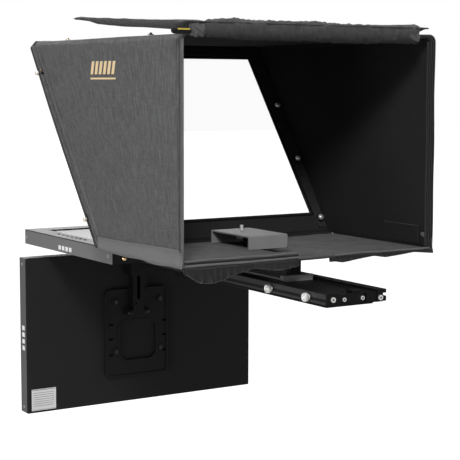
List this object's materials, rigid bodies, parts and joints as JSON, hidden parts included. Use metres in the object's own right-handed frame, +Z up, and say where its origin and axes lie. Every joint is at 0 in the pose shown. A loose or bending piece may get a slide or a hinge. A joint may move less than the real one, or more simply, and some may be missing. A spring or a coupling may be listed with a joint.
{
  "type": "teleprompter",
  "caption": "Camera-mounted teleprompter: fabric hood with sloping beamsplitter glass over a face-up prompter monitor, rails with a camera sled, and a talent monitor hung below.",
  "frame": {"origin": "mouth of the 3/8 inch tripod hole in the underside of the tripod plate", "axes": "+Z up, +Y from the talent to the operator, +X to the operator's left"},
  "size_m": [0.5251, 0.7782, 0.746],
  "materials": {
    "hood_fabric": "woven polyester over board",
    "hood_lining": "dull lining",
    "curtain_fabric": "soft woven blackout cloth",
    "binding_tape": "ribbed tape",
    "tab_cloth": "woven loop",
    "gold_print": "metallic print",
    "black_frame": "satin black paint on aluminium",
    "black_anodised": "satin black anodised",
    "grey_anodised": "bead-blasted dark grey",
    "beamsplitter": "partly mirrored clear glass",
    "foam": "closed-cell foam",
    "steel_screws": "zinc plated",
    "snap_metal": "plated",
    "hinge_steel": "black oxide",
    "monitor_shell": "fine texture dark grey",
    "monitor_face": "fine texture dark grey",
    "monitor_back": "matt black",
    "lcd_panel": "anti-glare polariser",
    "lcd_backlight": "diffuser stack",
    "circuit_board": "solder mask",
    "button_plastic": "moulded",
    "brass_knob": "knurled",
    "label_paper": "printed silver film"
  },
  "bodies": {
    "base": {"rail_left": "black_anodised", "rail_right": "black_anodised", "rail_deck": "black_anodised", "rail_base_plate": "black_anodised", "rail_screws": "steel_screws", "tripod_plate": "black_anodised", "prompter_mount_plate": "black_anodised", "prompter_housing": "monitor_shell", "prompter_bezel": "monitor_face", "prompter_screen": "lcd_panel", "prompter_backlight": "lcd_backlight", "prompter_board": "circuit_board", "prompter_screws": "steel_screws", "hood_floor": "hood_lining", "valances": "hood_fabric", "hinge_brackets": "hinge_steel", "talent_clamp": "black_anodised"},
    "hood": {"glass_frame_left": "black_frame", "glass_frame_right": "black_frame", "glass_frame_top": "black_frame", "glass_frame_bottom": "black_frame", "beamsplitter_glass": "beamsplitter", "glass_gasket": "foam", "frame_thumbscrews": "steel_screws", "hinge_leaves": "hinge_steel", "hood_side_left": "hood_fabric", "hood_side_right": "hood_fabric", "hood_top": "hood_fabric", "hood_front_flange": "hood_lining", "hood_skirts": "hood_fabric", "hood_rear_binding": "binding_tape", "side_emblem": "gold_print", "curtain_snaps": "snap_metal", "curtain_roll": "curtain_fabric", "curtain_tab": "tab_cloth"},
    "curtain": {"rear_curtain": "curtain_fabric"},
    "sled": {"camera_sled": "grey_anodised", "sled_risers": "black_anodised", "camera_bracket": "grey_anodised"},
    "camera_screw": {"camera_screw": "steel_screws"},
    "talent_arm": {"talent_arm": "black_anodised"},
    "talent_head": {"talent_plate": "black_anodised", "talent_housing": "monitor_shell", "talent_back_cover": "monitor_back", "talent_bezel": "monitor_face", "talent_screen": "lcd_panel", "talent_backlight": "lcd_backlight", "talent_board": "circuit_board", "talent_label": "label_paper", "talent_screws": "steel_screws"},
    "rail_knob_front": {"rail_knob_front": "steel_screws"},
    "rail_knob_rear": {"rail_knob_rear": "steel_screws"},
    "talent_arm_knob": {"talent_arm_knob": "brass_knob"},
    "menu_button_1": {"menu_button_1": "button_plastic"},
    "menu_button_2": {"menu_button_2": "button_plastic"},
    "menu_button_3": {"menu_button_3": "button_plastic"},
    "menu_button_4": {"menu_button_4": "button_plastic"},
    "menu_button_5": {"menu_button_5": "button_plastic"},
    "menu_button_6": {"menu_button_6": "button_plastic"},
    "menu_button_7": {"menu_button_7": "button_plastic"}
  },
  "joints": [
    {"name": "hood_fold", "type": "hinge", "parent": "base", "child": "hood", "pos_m": [0, 0.0226, 0.0775], "axis": [1, 0, 0], "range_deg": [0, 45]},
    {"name": "curtain_flip", "type": "hinge", "parent": "hood", "child": "curtain", "pos_m": [0, 0.341, 0.455], "axis": [-1, 0, 0], "range_deg": [0, 265]},
    {"name": "sled_slide", "type": "slide", "parent": "base", "child": "sled", "axis": [0, 1, 0], "range_m": [-0.02, 0.06]},
    {"name": "camera_screw_spin", "type": "hinge", "parent": "sled", "child": "camera_screw", "pos_m": [0, 0.112, 0.098], "axis": [0, 0, 1], "continuous": true},
    {"name": "talent_height", "type": "slide", "parent": "base", "child": "talent_arm", "axis": [0, 0, 1], "range_m": [-0.035, 0.015]},
    {"name": "talent_tilt", "type": "hinge", "parent": "talent_arm", "child": "talent_head", "pos_m": [0.021, -0.24, -0.095], "axis": [1, 0, 0], "range_deg": [0, 12]},
    {"name": "rail_knob_front_spin", "type": "hinge", "parent": "base", "child": "rail_knob_front", "pos_m": [0.0585, 0.294, 0.023], "axis": [1, 0, 0], "continuous": true},
    {"name": "rail_knob_rear_spin", "type": "hinge", "parent": "base", "child": "rail_knob_rear", "pos_m": [0.0585, 0.4, 0.023], "axis": [1, 0, 0], "continuous": true},
    {"name": "talent_arm_knob_spin", "type": "hinge", "parent": "base", "child": "talent_arm_knob", "pos_m": [0.0462, -0.237, 0.0152], "axis": [1, 0, 0], "continuous": true},
    {"name": "menu_button_1_press", "type": "slide", "parent": "base", "child": "menu_button_1", "axis": [0, 0, -1], "range_m": [0, 0.0008], "stiffness_N_per_m": 300},
    {"name": "menu_button_2_press", "type": "slide", "parent": "base", "child": "menu_button_2", "axis": [0, 0, -1], "range_m": [0, 0.0008], "stiffness_N_per_m": 300},
    {"name": "menu_button_3_press", "type": "slide", "parent": "base", "child": "menu_button_3", "axis": [0, 0, -1], "range_m": [0, 0.0008], "stiffness_N_per_m": 300},
    {"name": "menu_button_4_press", "type": "slide", "parent": "base", "child": "menu_button_4", "axis": [0, 0, -1], "range_m": [0, 0.0008], "stiffness_N_per_m": 300},
    {"name": "menu_button_5_press", "type": "slide", "parent": "base", "child": "menu_button_5", "axis": [0, 0, -1], "range_m": [0, 0.0008], "stiffness_N_per_m": 300},
    {"name": "menu_button_6_press", "type": "slide", "parent": "base", "child": "menu_button_6", "axis": [0, 0, -1], "range_m": [0, 0.0008], "stiffness_N_per_m": 300},
    {"name": "menu_button_7_press", "type": "slide", "parent": "base", "child": "menu_button_7", "axis": [0, 0, -1], "range_m": [0, 0.0008], "stiffness_N_per_m": 300}
  ]
}
